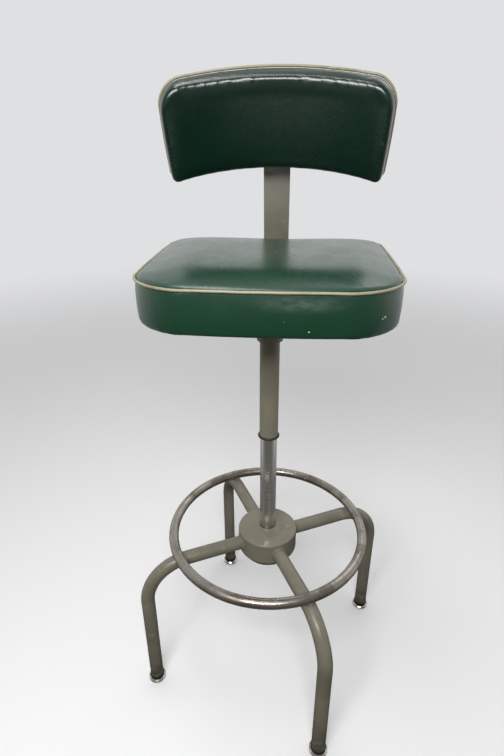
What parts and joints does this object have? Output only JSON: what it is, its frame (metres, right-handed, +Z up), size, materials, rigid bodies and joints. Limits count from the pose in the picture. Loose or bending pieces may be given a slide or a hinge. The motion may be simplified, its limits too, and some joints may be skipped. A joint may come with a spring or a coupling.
{
  "type": "machinist stool",
  "caption": "Tall swivel work stool: bent tube legs, foot ring, sliding post, boxed vinyl seat with piping and a small curved backrest on a flat bar.",
  "frame": {"origin": "on the floor, on the axis of the post, midway between the four glides", "axes": "+Z up along the post, the seat faces -Y, +X to the right of someone looking at the seat from the front"},
  "size_m": [0.5006, 0.5006, 1.1744],
  "materials": {
    "frame_paint": "taupe grey enamel, semi-gloss, rubbed",
    "bar_paint": "taupe grey enamel, semi-gloss",
    "ring_steel": "worn enamel over bare steel, brownish",
    "post_chrome": "bright plated, with wear rings",
    "bearing_steel": "machined steel",
    "bush_bronze": "sintered bronze",
    "glide_nickel": "nickel plated, scuffed",
    "glide_rubber": "black rubber",
    "stem_steel": "zinc plated steel",
    "knob_black": "black moulded knob",
    "cap_nylon": "natural nylon",
    "plywood": "birch plywood",
    "seat_vinyl": "green vinyl-coated cloth, semi-gloss, fine grain",
    "back_vinyl": "dark green vinyl-coated cloth, semi-gloss, fine grain",
    "piping_vinyl": "olive cream vinyl piping"
  },
  "bodies": {
    "base": {"hub_core": "bearing_steel", "hub_shell": "frame_paint", "hub_base_plate": "bearing_steel", "swivel_bush_upper": "bush_bronze", "swivel_bush_lower": "bush_bronze", "leg_front": "frame_paint", "leg_left": "frame_paint", "leg_rear": "frame_paint", "leg_right": "frame_paint", "glide_cup_front": "glide_nickel", "glide_cup_left": "glide_nickel", "glide_cup_rear": "glide_nickel", "glide_cup_right": "glide_nickel", "glide_cushion_front": "glide_rubber", "glide_cushion_left": "glide_rubber", "glide_cushion_rear": "glide_rubber", "glide_cushion_right": "glide_rubber", "glide_stems": "stem_steel", "foot_ring": "ring_steel", "arm_welds": "frame_paint", "ring_welds": "frame_paint", "thrust_race_lower": "bearing_steel", "thrust_balls": "bearing_steel"},
    "post": {"post_tube": "post_chrome", "post_foot": "bearing_steel", "post_cap": "cap_nylon", "post_washer": "bearing_steel", "post_nut": "bearing_steel", "thrust_race_upper": "bearing_steel"},
    "seat_carriage": {"sleeve_tube": "frame_paint", "sleeve_ring": "glide_rubber", "seat_collar": "frame_paint", "clamp_boss": "frame_paint", "seat_plate": "frame_paint", "seat_screws": "stem_steel", "seat_board": "plywood", "seat_cushion": "seat_vinyl", "seat_piping": "piping_vinyl", "bar_guide": "frame_paint", "guide_bolts": "stem_steel"},
    "height_clamp": {"height_screw": "stem_steel", "height_knob": "knob_black"},
    "back_bar": {"back_bar": "bar_paint"},
    "bar_clamp": {"bar_screw": "stem_steel", "bar_knob": "knob_black"},
    "back_slide": {"back_slide": "bar_paint", "back_stud": "stem_steel", "back_washer": "stem_steel", "hinge_pin": "stem_steel"},
    "back_clamp": {"back_knob": "knob_black"},
    "backrest": {"back_board": "plywood", "back_cushion": "back_vinyl", "back_piping": "piping_vinyl", "back_panel": "back_vinyl", "back_hinge_plate": "bar_paint", "back_spacer": "bar_paint", "back_screws": "stem_steel"}
  },
  "joints": [
    {"name": "swivel", "type": "hinge", "parent": "base", "child": "post", "pos_m": [0, 0, 0.34], "axis": [0, 0, 1], "continuous": true},
    {"name": "height", "type": "slide", "parent": "post", "child": "seat_carriage", "axis": [0, 0, 1], "range_m": [-0.16, 0.01]},
    {"name": "height_clamp_turn", "type": "hinge", "parent": "seat_carriage", "child": "height_clamp", "pos_m": [0, 0.035, 0.597], "axis": [0, 1, 0], "range_deg": [0, 180]},
    {"name": "back_depth", "type": "slide", "parent": "seat_carriage", "child": "back_bar", "axis": [0, 1, 0], "range_m": [-0.02, 0.02]},
    {"name": "bar_clamp_turn", "type": "hinge", "parent": "seat_carriage", "child": "bar_clamp", "pos_m": [0, 0.1025, 0.8], "axis": [0, 0, -1], "range_deg": [0, 180]},
    {"name": "back_height", "type": "slide", "parent": "back_bar", "child": "back_slide", "axis": [0, -0.1736, 0.9848], "range_m": [-0.05, 0.025]},
    {"name": "back_clamp_turn", "type": "hinge", "parent": "back_slide", "child": "back_clamp", "pos_m": [0, 0.19044, 1.11], "axis": [0, 0.9848, 0.1736], "range_deg": [0, 180]},
    {"name": "back_tilt", "type": "hinge", "parent": "back_slide", "child": "backrest", "pos_m": [0, 0.17075, 1.10653], "axis": [1, 0, 0], "range_deg": [-35, 5]}
  ]
}
